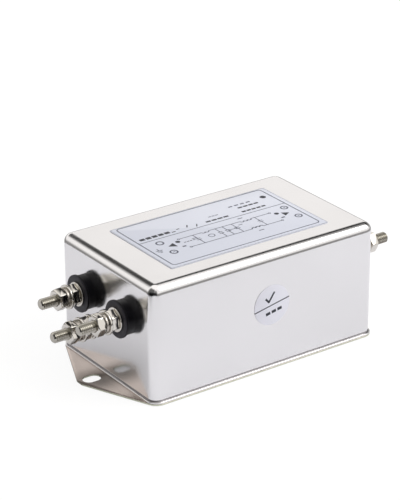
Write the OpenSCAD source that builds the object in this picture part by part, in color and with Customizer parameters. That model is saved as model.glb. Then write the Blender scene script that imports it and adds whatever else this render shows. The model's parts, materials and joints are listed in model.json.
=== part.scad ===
// Single-phase mains filter in a drawn metal can, with stud terminals at both ends.
// Millimetres, Z up. The origin is the centre of the underside of the base plate.
// X runs along the can from the line end (-X) to the load end (+X), -Y is the near side.

/* [Case] */
// length of the can over its end walls
case_length = 95; // [88:0.5:110]
// width of the can over its long walls
case_width = 57.5; // [52:0.5:70]
// height of the can from its foot to its top
case_height = 43.4; // [38:0.1:55]
// thickness of the drawn sheet
case_wall = 0.6; // [0.4:0.1:1]
// outer radius of the four upright corners
corner_radius = 3.5; // [3.5:0.1:6]
// outer radius of the edge round the top
top_radius = 3.2; // [2:0.1:3.4]
// how far the foot flange stands out from the walls
flange_reach = 0.75; // [0.65:0.05:1.6]
// radius of the bend between wall and foot flange
foot_bend_radius = 0.45; // [0.3:0.05:0.6]

/* [Base plate] */
// thickness of the base plate
plate_thickness = 0.6; // [0.5:0.1:1.5]
// how far each ear reaches past the end wall
ear_reach = 11.5; // [10:0.1:14]
// rounding of the two corners at an ear's tip
ear_tip_radius = 2.2; // [1.5:0.1:3]
// length of the straight edge at an ear's tip
ear_tip_flat = 2.4; // [1:0.1:6]
// width of the fixing slot
slot_width = 4.8; // [4:0.1:5.2]
// length of the fixing slot from end to end
slot_length = 6.8; // [5.4:0.1:7]
// distance from the end wall to the middle of the slot
slot_offset = 6.5; // [6:0.1:7]

/* [Terminals] */
// distance between the two power studs of one end
terminal_spacing = 24.4; // [21:0.1:28]
// height of the power studs above the underside of the base plate
terminal_height = 27.5; // [24:0.1:30]
// height of the earth stud above the underside of the base plate
earth_height = 20.6; // [17:0.1:23]
// thread diameter of the studs
stud_diameter = 4; // [3.5:0.1:4.5]
// how far a power stud stands out from the end wall
stud_reach = 19; // [18:0.5:25]
// how far the earth stud stands out from the end wall
earth_stud_reach = 21.8; // [21:0.1:28]
// length of stud left free behind the last nut inside the can
stud_tail = 1.5; // [1:0.1:3]
// size of the chamfer on the stud ends
stud_chamfer = 0.5; // [0.2:0.1:0.8]
// diameter of the thread's core, which is what shows of the stud inside a nut
core_diameter = 3.3; // [2.9:0.1:3.6]

/* [Bushings] */
// diameter of the bushing's barrel
barrel_diameter = 12.4; // [11:0.1:14]
// diameter of the bushing's front rim
rim_diameter = 13.5; // [12.5:0.1:15]
// thickness of the front rim
rim_thickness = 1; // [0.6:0.1:1.5]
// how far the bushing stands out from the end wall
bushing_reach = 3.9; // [3:0.1:6]
// diameter of the bushing's neck where it goes through the wall
neck_diameter = 8.8; // [7.5:0.1:10]
// length of neck that stands out inside the can
neck_reach = 1.2; // [0.8:0.1:2]
// thickness of the insulator's floor behind the neck
insulator_floor = 1; // [0.8:0.1:2]

/* [Nuts and washers] */
// size of the nuts across their flats
nut_flats = 7; // [6.5:0.1:8]
// height of a nut
nut_height = 3.2; // [2.5:0.1:4]
// height of the tall nut that fixes the earth stud outside
tall_nut_height = 5.4; // [4:0.1:7]
// diameter of the flat washers
washer_diameter = 8.8; // [8:0.1:10]
// thickness of the flat washers
washer_thickness = 0.8; // [0.5:0.1:1.2]
// thickness of the washer between bushing and nut
seat_washer_thickness = 0.6; // [0.4:0.1:1]
// diameter of the spring washers
spring_washer_diameter = 7.4; // [6.8:0.1:8.4]
// height of a power stud's spring washer as it sits
spring_washer_height = 1.2; // [0.9:0.1:1.8]
// height of the earth stud's spring washer, which is less tightened
loose_spring_height = 1.8; // [0.9:0.1:2]
// width of the cut through a spring washer
spring_cut = 0.6; // [0.3:0.1:1]

/* [Labels] */
// length of the printed label on top
label_length = 67.2; // [50:0.1:75]
// width of the printed label on top
label_width = 38.8; // [30:0.1:45]
// how far the label's middle lies from the can's middle along X
label_shift = 0.3; // [-3:0.1:3]
// thickness of both labels
label_thickness = 0.15; // [0.1:0.05:0.3]
// diameter of the round inspection sticker
sticker_diameter = 15; // [10:0.1:20]
// how far the sticker's middle lies from the can's middle along X
sticker_shift = 2; // [-15:0.1:15]
// height of the sticker's middle above the underside of the base plate
sticker_height = 24.5; // [14:0.1:32]

/* [Inside] */
// thickness of the insulating sheet on the base plate
sheet_thickness = 0.4; // [0.2:0.1:1]
// height of the feet under the carrier board
foot_height = 4; // [3:0.1:6]
// diameter of the feet under the carrier board
foot_diameter = 5; // [4:0.1:7]
// thickness of the carrier board
board_thickness = 1.6; // [1:0.1:2.4]
// thickness of the metal strips between studs and board
strip_thickness = 0.5; // [0.3:0.1:0.8]
// width of the metal strips between studs and board
strip_width = 4; // [3:0.1:5]
// how far leads and strips stand out below the board
lead_end = 1.4; // [0.8:0.1:2]
// length of the box capacitors across the can
box_cap_length = 26; // [22:0.5:30]
// thickness of the box capacitors along the can
box_cap_thickness = 9; // [7:0.5:10]
// height of the box capacitors
box_cap_height = 16; // [12:0.5:20]
// distance between the leads of a box capacitor
box_cap_pitch = 22.5; // [15:0.5:22.5]
// distance from the inside of the can's end to the middle of each box capacitor
box_cap_inset = 19.7; // [18.7:0.5:22.7]
// diameter of the disc capacitors
disc_cap_diameter = 9; // [7:0.5:11]
// thickness of the disc capacitors
disc_cap_thickness = 4; // [3:0.5:4.5]
// diameter of the resistor's body
resistor_diameter = 3.6; // [2:0.1:5]
// length of the resistor's body
resistor_length = 9; // [6:0.5:12]
// diameter of the component leads
lead_diameter = 0.8; // [0.6:0.1:1]

/* [Choke] */
// outer diameter of the ring core
core_outer_diameter = 29; // [26:0.5:32]
// inner diameter of the ring core
core_inner_diameter = 17; // [15:0.5:19]
// height of the ring core
core_height = 12; // [10:0.5:16]
// diameter of the winding wire
wire_diameter = 1.2; // [0.8:0.1:1.4]
// whole turns of each winding
turns = 9; // [4:1:10]
// angle of core that each winding covers
winding_span = 130; // [100:5:140]
// thickness of the divider between the windings
divider_thickness = 1.4; // [1:0.1:2]

/* [Hidden] */
$fn = 48;

// clearances, each on the radius or on one side
thread_gap = 0.05;    // between a nut's bore and the stud's core
washer_gap = 0.15;    // between a washer's bore and the stud
bushing_gap = 0.1;    // between the bushing's bore and the stud
wall_hole_gap = 0.1;  // between the wall's hole and the neck or stud in it
lead_gap = 0.2;       // between a board hole and the lead in it
winding_gap = 0.15;   // between the winding wire and the core or board
divider_gap = 0.1;    // between the divider and the core
inside_gap = 0.5;     // between the can's inside and the board or sheet

stud_r = stud_diameter / 2;
core_r = core_diameter / 2;
total_height = plate_thickness + case_height;
corner_x = case_length / 2 - corner_radius;
corner_y = case_width / 2 - corner_radius;
inner_length = case_length - 2 * case_wall;
inner_width = case_width - 2 * case_wall;
box_cap_offset = inner_length / 2 - box_cap_inset;

// heights inside the can
sheet_top = plate_thickness + sheet_thickness;
board_bottom = sheet_top + foot_height;
board_top = board_bottom + board_thickness;
lead_bottom = board_bottom - lead_end;

// stations along a power stud, counted outwards from the outer face of the end wall
seat_at = bushing_reach;
clamp_at = seat_at + seat_washer_thickness;
flat_at = clamp_at + nut_height;
spring_at = flat_at + washer_thickness;
wire_at = spring_at + spring_washer_height;
insulator_at = -case_wall - neck_reach - bushing_gap - insulator_floor;
strip_at = insulator_at - strip_thickness;
inner_washer_at = strip_at - washer_thickness;
inner_nut_at = inner_washer_at - nut_height;
stud_inner_end = inner_nut_at - stud_tail;

// stations along the earth stud, counted the same way
earth_fixing_at = washer_thickness;
earth_seat_at = earth_fixing_at + tall_nut_height;
earth_clamp_at = earth_seat_at + washer_thickness;
earth_flat_at = earth_clamp_at + nut_height;
earth_spring_at = earth_flat_at + washer_thickness;
earth_wire_at = earth_spring_at + loose_spring_height;
earth_back_nut_at = -case_wall - nut_height;
earth_strip_at = earth_back_nut_at - strip_thickness;
earth_inner_washer_at = earth_strip_at - washer_thickness;
earth_inner_nut_at = earth_inner_washer_at - nut_height;
earth_inner_end = earth_inner_nut_at - stud_tail;

// how far each nut is turned about its stud: line near, line far, load near, load far
clamp_nut_turns = [0, 4, 14, 40];
wire_nut_turns = [27, 30, 25, 10];
earth_clamp_turn = 6;
earth_wire_turn = 12;

// choke
core_mid_r = (core_outer_diameter + core_inner_diameter) / 4;
core_half_w = (core_outer_diameter - core_inner_diameter) / 4;
core_edge_r = wire_diameter / 2 + winding_gap;
core_bottom = board_top + wire_diameter + 2 * winding_gap;
core_mid_z = core_bottom + core_height / 2;
path_half_w = core_half_w + core_edge_r;
path_half_h = core_height / 2 + core_edge_r;
path_corner_r = 2 * core_edge_r;
lead_out_angle = 90 - winding_span / 2;
lead_in_angle = 90 + winding_span / 2;
wire_sides = 6;

// leads of the small parts, from the middle of each part
disc_cap_pitch = disc_cap_diameter - 4;
disc_cap_lift = 2;
disc_cap_x = -box_cap_offset - box_cap_thickness / 2 - disc_cap_thickness / 2 - 2;
disc_cap_y = disc_cap_diameter / 2 + 3.5;
disc_cap_z = board_top + disc_cap_lift + disc_cap_diameter / 2;
resistor_x = box_cap_offset + box_cap_thickness / 2 + resistor_diameter / 2 + 2;
resistor_z = board_top + resistor_diameter / 2 + 0.5;
resistor_pitch = resistor_length + 5;
foot_x = corner_x - foot_diameter;
foot_y = corner_y - foot_diameter / 2;

// ---------- outlines and helpers ----------

// rectangle with round corners, centred on the origin
module rounded_outline(length, width, r) {
    square([length - 2 * r, width], center = true);
    square([length, width - 2 * r], center = true);
    for (sx = [-1, 1], sy = [-1, 1])
        translate([sx * (length / 2 - r), sy * (width / 2 - r)]) circle(r);
}

// block with round upright corners and a round edge along its top
module domed_block(length, width, height, r, edge) {
    side = height - edge;
    linear_extrude(side) rounded_outline(length, width, r);
    linear_extrude(height) rounded_outline(length - 2 * edge, width - 2 * edge, r - edge);
    for (sx = [-1, 1], sy = [-1, 1])
        translate([sx * (length / 2 - r), sy * (width / 2 - r), side])
            rotate_extrude() top_edge_profile(r, edge);
    for (sy = [-1, 1]) translate([0, sy * (width / 2 - edge), side])
        rotate([0, 90, 0]) cylinder(r = edge, h = length - 2 * r, center = true);
    for (sx = [-1, 1]) translate([sx * (length / 2 - edge), 0, side])
        rotate([90, 0, 0]) cylinder(r = edge, h = width - 2 * r, center = true);
}

// what a corner's quarter turn sweeps: flat to the edge's centre, then a quarter round
module top_edge_profile(r, edge) {
    intersection() {
        union() {
            square([r - edge, edge]);
            translate([r - edge, 0]) circle(edge);
        }
        square([r, edge]);
    }
}

// fillet in the bend between wall and flange, outside the wall line, standing at z = 0
module bend_fillet(length, width, r, bend) {
    for (sx = [-1, 1], sy = [-1, 1])
        translate([sx * (length / 2 - r), sy * (width / 2 - r), 0])
            rotate_extrude() translate([r, 0]) fillet_profile(bend);
    for (turn = [0, 180]) {
        rotate([0, 0, turn]) side_fillet(width / 2, length - 2 * r, bend);
        rotate([0, 0, turn + 90]) side_fillet(length / 2, width - 2 * r, bend);
    }
}

// straight run of the fillet along X, against a wall at the given distance on the -Y side
module side_fillet(distance, run, bend) {
    translate([-run / 2, -distance, 0]) rotate([90, 0, 90])
        linear_extrude(run) mirror([1, 0]) fillet_profile(bend);
}

module fillet_profile(bend) {
    difference() {
        translate([-case_wall / 2, 0]) square([bend + case_wall / 2, bend]);
        translate([bend, bend]) circle(bend);
    }
}

// outline of the base plate: the flange's outline run out to a tip at each end,
// with straight edges that meet the rounds at a tangent
module plate_outline() {
    flange_r = corner_radius + flange_reach;
    tip_x = case_length / 2 + ear_reach - ear_tip_radius;
    tip_y = ear_tip_flat / 2;
    run = [tip_x - corner_x, tip_y - corner_y];
    turn = atan2(run[1], run[0]) + acos((flange_r - ear_tip_radius) / norm(run));
    edge = [cos(turn), sin(turn)];
    polygon([for (s = [1, -1]) each [
        [s * (tip_x + ear_tip_radius), -s * tip_y],
        [s * (tip_x + ear_tip_radius), s * tip_y],
        [s * tip_x, s * tip_y],
        [s * (tip_x + ear_tip_radius * edge[0]), s * (tip_y + ear_tip_radius * edge[1])],
        [s * (corner_x + flange_r * edge[0]), s * (corner_y + flange_r * edge[1])],
        [s * corner_x, s * corner_y],
        [s * corner_x, s * (corner_y + flange_r)],
        [-s * corner_x, s * (corner_y + flange_r)],
        [-s * corner_x, s * corner_y],
        [-s * (corner_x + flange_r * edge[0]), s * (corner_y + flange_r * edge[1])],
        [-s * (tip_x + ear_tip_radius * edge[0]), s * (tip_y + ear_tip_radius * edge[1])],
        [-s * tip_x, s * tip_y],
    ]]);
    for (sx = [-1, 1], sy = [-1, 1]) {
        translate([sx * tip_x, sy * tip_y]) circle(ear_tip_radius);
        translate([sx * corner_x, sy * corner_y]) circle(flange_r);
    }
}

module slot_outline() {
    for (s = [-1, 1]) translate([s * (slot_length - slot_width) / 2, 0]) circle(slot_width / 2);
    square([slot_length - slot_width, slot_width], center = true);
}

// puts a piece that points along +Z onto an end wall, station 0 on the wall's outer face
module on_wall(side, y, z) {
    translate([side * case_length / 2, y, z]) rotate([0, side * 90, 0]) children();
}

// the four power studs in order: line near, line far, load near, load far
module on_terminal(i) {
    side = i < 2 ? -1 : 1;
    y = (i % 2 == 0 ? -1 : 1) * terminal_spacing / 2;
    on_wall(side, y, terminal_height) children();
}

module on_earth() {
    on_wall(-1, 0, earth_height) children();
}

module tube(outer_r, inner_r, h) {
    difference() {
        cylinder(r = outer_r, h = h);
        translate([0, 0, -1]) cylinder(r = inner_r, h = h + 2);
    }
}

// hexagon nut with both faces chamfered, turned so that a corner starts at the given angle
module nut(h, turn) {
    corner_r = nut_flats / 2 / cos(30);
    drop = (corner_r - nut_flats / 2) * tan(30);
    difference() {
        intersection() {
            rotate([0, 0, turn]) cylinder(r = corner_r, h = h, $fn = 6);
            rotate_extrude() polygon([
                [0, 0], [nut_flats / 2, 0], [corner_r, drop],
                [corner_r, h - drop], [nut_flats / 2, h], [0, h],
            ]);
        }
        translate([0, 0, -1]) cylinder(r = core_r + thread_gap, h = h + 2);
    }
}

module spring_washer(h) {
    difference() {
        tube(spring_washer_diameter / 2, stud_r + washer_gap, h);
        translate([0, 0, h / 2]) rotate([35, 0, 0])
            translate([stud_r, -spring_cut / 2, -2 * h])
                cube([spring_washer_diameter, spring_cut, 4 * h]);
    }
}

// stud between two stations, with its thread cut back to the core inside each nut:
// nuts is a list of [station, height], from the inside outwards
module stud(from, to, nuts) {
    rotate_extrude() polygon([
        [0, from], [stud_r - stud_chamfer, from], [stud_r, from + stud_chamfer],
        for (n = nuts) each [
            [stud_r, n[0]], [core_r, n[0]], [core_r, n[0] + n[1]], [stud_r, n[0] + n[1]],
        ],
        [stud_r, to - stud_chamfer], [stud_r - stud_chamfer, to], [0, to],
    ]);
}

// ---------- case and base ----------

module case() {
    color("silver") difference() {
        translate([0, 0, plate_thickness]) union() {
            domed_block(case_length, case_width, case_height, corner_radius, top_radius);
            linear_extrude(case_wall) rounded_outline(case_length + 2 * flange_reach,
                case_width + 2 * flange_reach, corner_radius + flange_reach);
            translate([0, 0, case_wall])
                bend_fillet(case_length, case_width, corner_radius, foot_bend_radius);
        }
        translate([0, 0, plate_thickness - 1]) domed_block(inner_length, inner_width,
            case_height - case_wall + 1, corner_radius - case_wall, top_radius - case_wall);
        for (i = [0:3]) on_terminal(i) translate([0, 0, -2 * case_wall])
            cylinder(r = neck_diameter / 2 + wall_hole_gap, h = 3 * case_wall);
        on_earth() translate([0, 0, -2 * case_wall])
            cylinder(r = stud_r + wall_hole_gap, h = 3 * case_wall);
    }
}

module base_plate() {
    color("lightsteelblue") difference() {
        linear_extrude(plate_thickness) plate_outline();
        for (sx = [-1, 1]) translate([sx * (case_length / 2 + slot_offset), 0, -1])
            linear_extrude(plate_thickness + 2) slot_outline();
    }
}

module rating_label() {
    color("lavender") translate([label_shift - label_length / 2, -label_width / 2, total_height])
        cube([label_length, label_width, label_thickness]);
}

module inspection_sticker() {
    color("white") translate([sticker_shift, -case_width / 2, sticker_height])
        rotate([90, 0, 0]) cylinder(d = sticker_diameter, h = label_thickness);
}

// ---------- terminals, outside ----------

module bushing(i) {
    color("dimgray") on_terminal(i) difference() {
        rotate_extrude() polygon([
            [0, -case_wall - neck_reach], [neck_diameter / 2, -case_wall - neck_reach],
            [neck_diameter / 2, 0], [barrel_diameter / 2, 0],
            [barrel_diameter / 2, bushing_reach - rim_thickness],
            [rim_diameter / 2 - 0.2, bushing_reach - rim_thickness],
            [rim_diameter / 2, bushing_reach - rim_thickness + 0.2],
            [rim_diameter / 2, bushing_reach - 0.3],
            [rim_diameter / 2 - 0.3, bushing_reach], [0, bushing_reach],
        ]);
        translate([0, 0, -case_wall - neck_reach - 1])
            cylinder(r = stud_r + bushing_gap, h = bushing_reach + case_wall + neck_reach + 2);
    }
}

module bushing_line_near() { bushing(0); }
module bushing_line_far() { bushing(1); }
module bushing_load_near() { bushing(2); }
module bushing_load_far() { bushing(3); }

module terminal_stud(i) {
    color("gainsboro") on_terminal(i) stud(stud_inner_end, stud_reach, [
        [inner_nut_at, nut_height], [clamp_at, nut_height], [wire_at, nut_height],
    ]);
}

module stud_line_near() { terminal_stud(0); }
module stud_line_far() { terminal_stud(1); }
module stud_load_near() { terminal_stud(2); }
module stud_load_far() { terminal_stud(3); }

module earth_stud() {
    color("gainsboro") on_earth() stud(earth_inner_end, earth_stud_reach, [
        [earth_inner_nut_at, nut_height], [earth_back_nut_at, nut_height],
        [earth_fixing_at, tall_nut_height], [earth_clamp_at, nut_height],
        [earth_wire_at, nut_height],
    ]);
}

module seat_washers() {
    color("whitesmoke") {
        for (i = [0:3]) on_terminal(i) translate([0, 0, seat_at])
            tube(washer_diameter / 2, stud_r + washer_gap, seat_washer_thickness);
        on_earth() {
            tube(washer_diameter / 2, stud_r + washer_gap, washer_thickness);
            translate([0, 0, earth_seat_at])
                tube(washer_diameter / 2, stud_r + washer_gap, washer_thickness);
        }
    }
}

module clamp_nuts() {
    color("silver") {
        for (i = [0:3]) on_terminal(i) translate([0, 0, clamp_at]) nut(nut_height, clamp_nut_turns[i]);
        on_earth() translate([0, 0, earth_clamp_at]) nut(nut_height, earth_clamp_turn);
    }
}

module flat_washers() {
    color("whitesmoke") {
        for (i = [0:3]) on_terminal(i) translate([0, 0, flat_at])
            tube(washer_diameter / 2, stud_r + washer_gap, washer_thickness);
        on_earth() translate([0, 0, earth_flat_at])
            tube(washer_diameter / 2, stud_r + washer_gap, washer_thickness);
    }
}

module spring_washers() {
    color("darkgray") {
        for (i = [0:3]) on_terminal(i) translate([0, 0, spring_at])
            spring_washer(spring_washer_height);
        on_earth() translate([0, 0, earth_spring_at]) spring_washer(loose_spring_height);
    }
}

module wire_nuts() {
    color("silver") {
        for (i = [0:3]) on_terminal(i) translate([0, 0, wire_at]) nut(nut_height, wire_nut_turns[i]);
        on_earth() translate([0, 0, earth_wire_at]) nut(nut_height, earth_wire_turn);
    }
}

module earth_fixing_nut() {
    color("silver") on_earth() translate([0, 0, earth_fixing_at]) nut(tall_nut_height, 0);
}

// ---------- terminals, inside ----------

// cup over the bushing's neck: a wide bore for the neck, then a floor bored for the stud
module inner_insulators() {
    color("slategray") for (i = [0:3]) on_terminal(i) difference() {
        translate([0, 0, insulator_at])
            cylinder(d = barrel_diameter, h = -case_wall - insulator_at);
        translate([0, 0, insulator_at + insulator_floor])
            cylinder(r = neck_diameter / 2 + wall_hole_gap, h = -insulator_at);
        translate([0, 0, insulator_at - 1])
            cylinder(r = stud_r + bushing_gap, h = insulator_floor + 2);
    }
}

// flat strip with an eye on the stud, standing through a slot in the board
module strip(height) {
    difference() {
        union() {
            cylinder(d = washer_diameter, h = strip_thickness);
            translate([0, -strip_width / 2, 0])
                cube([height - lead_bottom, strip_width, strip_thickness]);
        }
        translate([0, 0, -1]) cylinder(r = stud_r + washer_gap, h = strip_thickness + 2);
    }
}

// the strip's flat tail hangs down towards the board on either end wall
module hanging_strip(side, y, z, at) {
    on_wall(side, y, z) translate([0, 0, at]) rotate([0, 0, side > 0 ? 0 : 180]) strip(z);
}

module terminal_strip(i) {
    color("goldenrod")
        hanging_strip(i < 2 ? -1 : 1, (i % 2 == 0 ? -1 : 1) * terminal_spacing / 2,
            terminal_height, strip_at);
}

module strip_line_near() { terminal_strip(0); }
module strip_line_far() { terminal_strip(1); }
module strip_load_near() { terminal_strip(2); }
module strip_load_far() { terminal_strip(3); }

module earth_strip() {
    color("goldenrod") hanging_strip(-1, 0, earth_height, earth_strip_at);
}

module inner_washers() {
    color("whitesmoke") {
        for (i = [0:3]) on_terminal(i) translate([0, 0, inner_washer_at])
            tube(washer_diameter / 2, stud_r + washer_gap, washer_thickness);
        on_earth() translate([0, 0, earth_inner_washer_at])
            tube(washer_diameter / 2, stud_r + washer_gap, washer_thickness);
    }
}

module inner_nuts() {
    color("silver") {
        for (i = [0:3]) on_terminal(i) translate([0, 0, inner_nut_at]) nut(nut_height, 0);
        on_earth() {
            translate([0, 0, earth_back_nut_at]) nut(nut_height, 0);
            translate([0, 0, earth_inner_nut_at]) nut(nut_height, 0);
        }
    }
}

// ---------- board and small parts ----------

module insulating_sheet() {
    color("beige") translate([0, 0, plate_thickness]) linear_extrude(sheet_thickness)
        rounded_outline(inner_length - 2 * inside_gap, inner_width - 2 * inside_gap,
            corner_radius - case_wall - inside_gap);
}

module board_feet() {
    color("ivory") for (sx = [-1, 1], sy = [-1, 1])
        translate([sx * foot_x, sy * foot_y, sheet_top]) cylinder(d = foot_diameter, h = foot_height);
}

module carrier_board() {
    color("darkgreen") difference() {
        translate([0, 0, board_bottom]) linear_extrude(board_thickness)
            rounded_outline(inner_length - 2 * inside_gap, inner_width - 2 * inside_gap,
                corner_radius - case_wall - inside_gap);
        for (sx = [-1, 1], sy = [-1, 1]) strip_slot(sx, sy * terminal_spacing / 2, strip_at);
        strip_slot(-1, 0, earth_strip_at);
        for (sx = [-1, 1]) translate([sx * box_cap_offset, 0, 0])
            lead_holes(box_cap_pitch, lead_diameter);
        for (sy = [-1, 1]) translate([disc_cap_x, sy * disc_cap_y, 0])
            lead_holes(disc_cap_pitch, lead_diameter);
        translate([resistor_x, 0, 0]) lead_holes(resistor_pitch, lead_diameter);
        for (turn = [0, 180]) rotate([0, 0, turn]) {
            at_core(lead_out_angle, core_mid_r + path_half_w) board_hole(wire_diameter);
            at_core(lead_in_angle, core_mid_r - path_half_w) board_hole(wire_diameter);
        }
    }
}

module strip_slot(side, y, at) {
    x = side * (case_length / 2 + at + strip_thickness / 2);
    translate([x, y, board_bottom + board_thickness / 2])
        cube([strip_thickness + 2 * lead_gap, strip_width + 2 * lead_gap, 2 * board_thickness],
            center = true);
}

module at_core(angle, r) {
    translate([r * cos(angle), r * sin(angle), 0]) children();
}

module board_hole(d) {
    translate([0, 0, board_bottom - 1]) cylinder(r = d / 2 + lead_gap, h = board_thickness + 2);
}

module lead_holes(pitch, d) {
    for (s = [-1, 1]) translate([0, s * pitch / 2, 0]) board_hole(d);
}

// pair of straight leads from below the board up to the given height
module leads(pitch, top) {
    for (s = [-1, 1]) translate([0, s * pitch / 2, lead_bottom])
        cylinder(d = lead_diameter, h = top - lead_bottom);
}

module box_capacitor(side) {
    color("khaki") translate([side * box_cap_offset, 0, 0]) {
        translate([-box_cap_thickness / 2, -box_cap_length / 2, board_top])
            cube([box_cap_thickness, box_cap_length, box_cap_height]);
        leads(box_cap_pitch, board_top + 1);
    }
}

module box_capacitor_line() { box_capacitor(-1); }
module box_capacitor_load() { box_capacitor(1); }

module disc_capacitor(side) {
    color("steelblue") translate([disc_cap_x, side * disc_cap_y, 0]) {
        translate([0, 0, disc_cap_z]) rotate([0, 90, 0])
            cylinder(d = disc_cap_diameter, h = disc_cap_thickness, center = true);
        leads(disc_cap_pitch, disc_cap_z);
    }
}

module disc_capacitor_near() { disc_capacitor(-1); }
module disc_capacitor_far() { disc_capacitor(1); }

module bleed_resistor() {
    color("peru") translate([resistor_x, 0, 0]) {
        translate([0, 0, resistor_z]) rotate([90, 0, 0]) {
            cylinder(d = resistor_diameter, h = resistor_length, center = true);
            cylinder(d = lead_diameter, h = resistor_pitch, center = true);
        }
        for (s = [-1, 1]) translate([0, s * resistor_pitch / 2, resistor_z])
            sphere(d = lead_diameter);
        leads(resistor_pitch, resistor_z);
    }
}

// ---------- choke ----------

// ring core with round edges, so that the wire bends over it with an even gap
module choke_core() {
    w = core_half_w - core_edge_r;
    h = core_height / 2 - core_edge_r;
    color("darkslategray") translate([0, 0, core_mid_z]) rotate_extrude()
        translate([core_mid_r, 0]) {
            square([2 * w, core_height], center = true);
            square([2 * core_half_w, 2 * h], center = true);
            for (sx = [-1, 1], sy = [-1, 1]) translate([sx * w, sy * h]) circle(core_edge_r);
        }
}

// plate across the core's hole that keeps the two windings apart
module choke_divider() {
    length = core_inner_diameter - 2 * divider_gap;
    color("white") intersection() {
        translate([-length / 2, -divider_thickness / 2, board_top])
            cube([length, divider_thickness, core_height + 2 * wire_diameter]);
        cylinder(d = length, h = total_height);
    }
}

// point number m of a winding: three points round each corner of the core's section
function corner_of(m) = floor(m / 3) % 4;
function bend_angle(m) = 90 * corner_of(m) + 45 * (m % 3);
function side_w(m) = corner_of(m) == 0 || corner_of(m) == 3 ? 1 : -1;
function side_h(m) = corner_of(m) < 2 ? 1 : -1;
function last_point() = 12 * turns + 5;
function wind_angle(m) = lead_out_angle + winding_span * m / last_point();
function wind_r(m) = core_mid_r + side_w(m) * (path_half_w - path_corner_r)
    + path_corner_r * cos(bend_angle(m));
function wind_z(m) = core_mid_z + side_h(m) * (path_half_h - path_corner_r)
    + path_corner_r * sin(bend_angle(m));
function polar(r, a, z) = [r * cos(a), r * sin(a), z];

// the wire's route: up the outside, round the core, then down through the core's hole
function winding_route() = concat(
    [polar(core_mid_r + path_half_w, lead_out_angle, lead_bottom)],
    [for (m = [0:last_point()]) polar(wind_r(m), wind_angle(m), wind_z(m))],
    [polar(core_mid_r - path_half_w, lead_in_angle, lead_bottom)]);
// which way the core's surface faces at each point of the route
function winding_normals() = concat(
    [polar(1, lead_out_angle, 0)],
    [for (m = [0:last_point()])
        polar(cos(bend_angle(m)), wind_angle(m), sin(bend_angle(m)))],
    [polar(-1, lead_in_angle, 0)]);
function unit(v) = v / norm(v);
function direction(p, i) = unit(p[min(i + 1, len(p) - 1)] - p[max(i - 1, 0)]);
function wire_ring(p, n, i, r) =
    let (t = direction(p, i), b = unit(cross(t, n[i])), q = cross(b, t))
    [for (k = [0:wire_sides - 1])
        p[i] + r * (cos(360 * k / wire_sides) * q + sin(360 * k / wire_sides) * b)];

module wire(p, n, r) {
    rings = len(p);
    s = wire_sides;
    points = [for (i = [0:rings - 1]) each wire_ring(p, n, i, r)];
    walls = [for (i = [0:rings - 2], k = [0:s - 1])
        [i * s + k, i * s + (k + 1) % s, (i + 1) * s + (k + 1) % s, (i + 1) * s + k]];
    ends = [[for (k = [s - 1:-1:0]) k], [for (k = [0:s - 1]) (rings - 1) * s + k]];
    polyhedron(points, concat(walls, ends));
}

module winding() {
    wire(winding_route(), winding_normals(), wire_diameter / 2);
}

module choke_winding_far() { color("chocolate") winding(); }
module choke_winding_near() { color("sienna") rotate([0, 0, 180]) winding(); }

// ---------- one line for each node ----------

case();
base_plate();
rating_label();
inspection_sticker();
bushing_line_near();
bushing_line_far();
bushing_load_near();
bushing_load_far();
stud_line_near();
stud_line_far();
stud_load_near();
stud_load_far();
earth_stud();
seat_washers();
clamp_nuts();
flat_washers();
spring_washers();
wire_nuts();
earth_fixing_nut();
inner_insulators();
inner_washers();
inner_nuts();
strip_line_near();
strip_line_far();
strip_load_near();
strip_load_far();
earth_strip();
insulating_sheet();
board_feet();
carrier_board();
choke_core();
choke_divider();
choke_winding_near();
choke_winding_far();
box_capacitor_line();
box_capacitor_load();
disc_capacitor_near();
disc_capacitor_far();
bleed_resistor();
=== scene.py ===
# Mains line filter: a bright drawn can on a slotted plate, with threaded studs
# at both ends, a pale printed label on top and a round sticker on one side.
# Sizes are in millimetres and turned to metres where a piece is made.
import json
import math

import bmesh
import bpy
from mathutils import Matrix, Vector


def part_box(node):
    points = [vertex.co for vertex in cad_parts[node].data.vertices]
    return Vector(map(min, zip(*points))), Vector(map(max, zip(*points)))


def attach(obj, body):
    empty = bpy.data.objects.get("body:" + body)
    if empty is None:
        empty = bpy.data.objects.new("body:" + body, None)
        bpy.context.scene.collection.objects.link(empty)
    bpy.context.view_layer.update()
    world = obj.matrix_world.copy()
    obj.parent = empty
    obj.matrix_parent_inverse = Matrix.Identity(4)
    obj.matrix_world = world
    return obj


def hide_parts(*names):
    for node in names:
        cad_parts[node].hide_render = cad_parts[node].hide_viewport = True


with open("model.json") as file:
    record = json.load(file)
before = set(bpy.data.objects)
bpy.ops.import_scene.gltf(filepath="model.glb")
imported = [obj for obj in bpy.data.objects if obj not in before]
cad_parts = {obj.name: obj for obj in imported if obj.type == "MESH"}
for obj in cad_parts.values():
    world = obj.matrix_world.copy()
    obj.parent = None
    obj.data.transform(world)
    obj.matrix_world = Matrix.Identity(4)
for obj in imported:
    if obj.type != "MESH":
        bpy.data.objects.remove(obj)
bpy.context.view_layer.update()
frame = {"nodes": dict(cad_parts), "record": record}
MM = 0.001

# ---------------------------------------------------------------- sizes

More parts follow.
